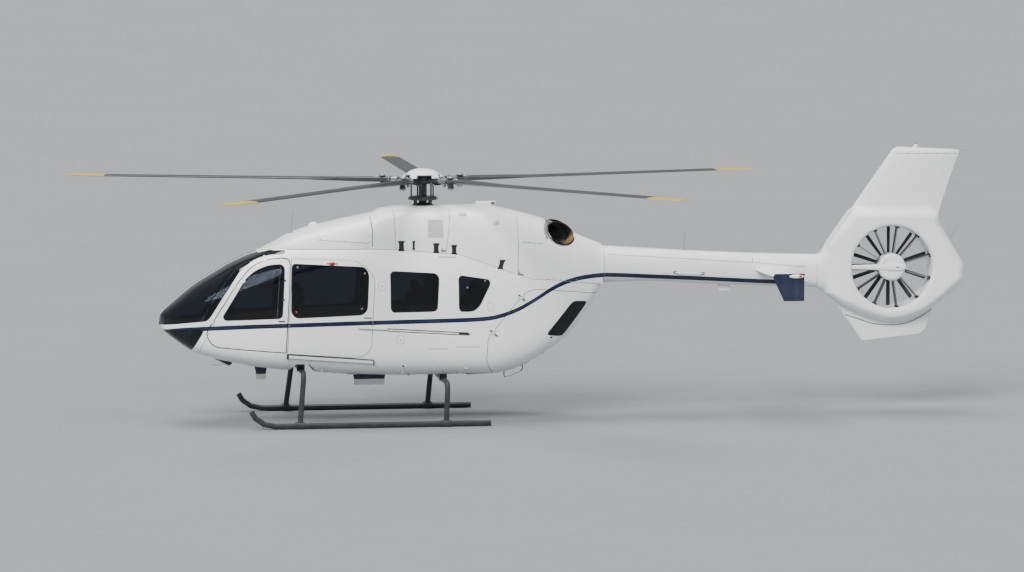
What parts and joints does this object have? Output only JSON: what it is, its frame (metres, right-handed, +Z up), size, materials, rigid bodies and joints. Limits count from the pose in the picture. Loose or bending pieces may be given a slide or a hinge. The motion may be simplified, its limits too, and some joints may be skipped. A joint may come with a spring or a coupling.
{
  "type": "light twin-engined helicopter",
  "caption": "Helicopter with a rounded cabin, sliding and hinged doors, rear loading doors, a shrouded tail rotor in a swept fin, and skids.",
  "frame": {"origin": "flat belly straight below the main rotor mast", "axes": "+X aft along the body, +Y to starboard, +Z up; the nose points along -X"},
  "size_m": [13.2017, 9.8886, 3.922],
  "materials": {
    "white_paint": "gloss",
    "white_composite": "gloss",
    "dark_glass": "gloss",
    "dark_paint": "satin",
    "black_alloy": "satin",
    "bare_metal": "satin",
    "heat_tinted_metal": "satin",
    "blade_composite": "matte",
    "seat_cloth": "matte",
    "grey_block": "matte"
  },
  "bodies": {
    "airframe": {"cabin_window_left": "dark_glass", "cabin_window_right": "dark_glass", "chin_window_left": "dark_glass", "chin_window_right": "dark_glass", "crosstube_front": "black_alloy", "crosstube_rear": "black_alloy", "engine_and_gearbox": "grey_block", "engine_cowling": "white_composite", "exhaust_left": "heat_tinted_metal", "exhaust_right": "heat_tinted_metal", "fuselage_shell": "white_paint", "instrument_console": "dark_paint", "passenger_seats": "seat_cloth", "pilot_seat_left": "seat_cloth", "pilot_seat_right": "seat_cloth", "rear_cabin_window_left": "dark_glass", "rear_cabin_window_right": "dark_glass", "skid_left": "black_alloy", "skid_right": "black_alloy", "sliding_door_left": "white_composite", "sliding_door_right": "white_composite", "sliding_door_window_left": "dark_glass", "sliding_door_window_right": "dark_glass", "stabiliser_left": "white_composite", "stabiliser_right": "white_composite", "tail_boom": "white_composite", "tail_fin": "white_composite", "tail_stator": "white_composite", "windshield_left": "dark_glass", "windshield_right": "dark_glass"},
    "main_rotor": {"rotor_mast": "bare_metal", "rotor_hub": "dark_paint", "rotor_cap": "white_composite", "rotor_blade_1": "blade_composite", "rotor_blade_2": "blade_composite", "rotor_blade_3": "blade_composite", "rotor_blade_4": "blade_composite", "rotor_blade_5": "blade_composite"},
    "tail_rotor": {"tail_rotor": "dark_paint"},
    "pilot_door_left": {"pilot_door_left": "white_composite", "pilot_door_window_left": "dark_glass"},
    "clamshell_left": {"clamshell_door_left": "white_composite", "clamshell_window_left": "dark_glass"},
    "pilot_door_right": {"pilot_door_right": "white_composite", "pilot_door_window_right": "dark_glass"},
    "clamshell_right": {"clamshell_door_right": "white_composite", "clamshell_window_right": "dark_glass"}
  },
  "joints": [
    {"name": "main_rotor_spin", "type": "hinge", "parent": "airframe", "child": "main_rotor", "pos_m": [0, 0, 2.82], "axis": [0, 0, 1], "continuous": true},
    {"name": "tail_rotor_spin", "type": "hinge", "parent": "airframe", "child": "tail_rotor", "pos_m": [6.96, 0, 1.466], "axis": [0, 1, 0], "continuous": true},
    {"name": "pilot_door_left_hinge", "type": "hinge", "parent": "airframe", "child": "pilot_door_left", "pos_m": [-3.13, -0.6776, 0.851], "axis": [-0.543, 0.0158, -0.8396], "range_deg": [0, 75]},
    {"name": "pilot_door_right_hinge", "type": "hinge", "parent": "airframe", "child": "pilot_door_right", "pos_m": [-3.13, 0.6776, 0.851], "axis": [0.543, 0.0158, 0.8396], "range_deg": [0, 75]},
    {"name": "clamshell_left_hinge", "type": "hinge", "parent": "airframe", "child": "clamshell_left", "pos_m": [0.925, -0.85053, 0.665], "axis": [-0.6406, -0.113, -0.7595], "range_deg": [0, 90]},
    {"name": "clamshell_right_hinge", "type": "hinge", "parent": "airframe", "child": "clamshell_right", "pos_m": [0.925, 0.85053, 0.665], "axis": [0.6406, -0.113, 0.7595], "range_deg": [0, 90]}
  ]
}
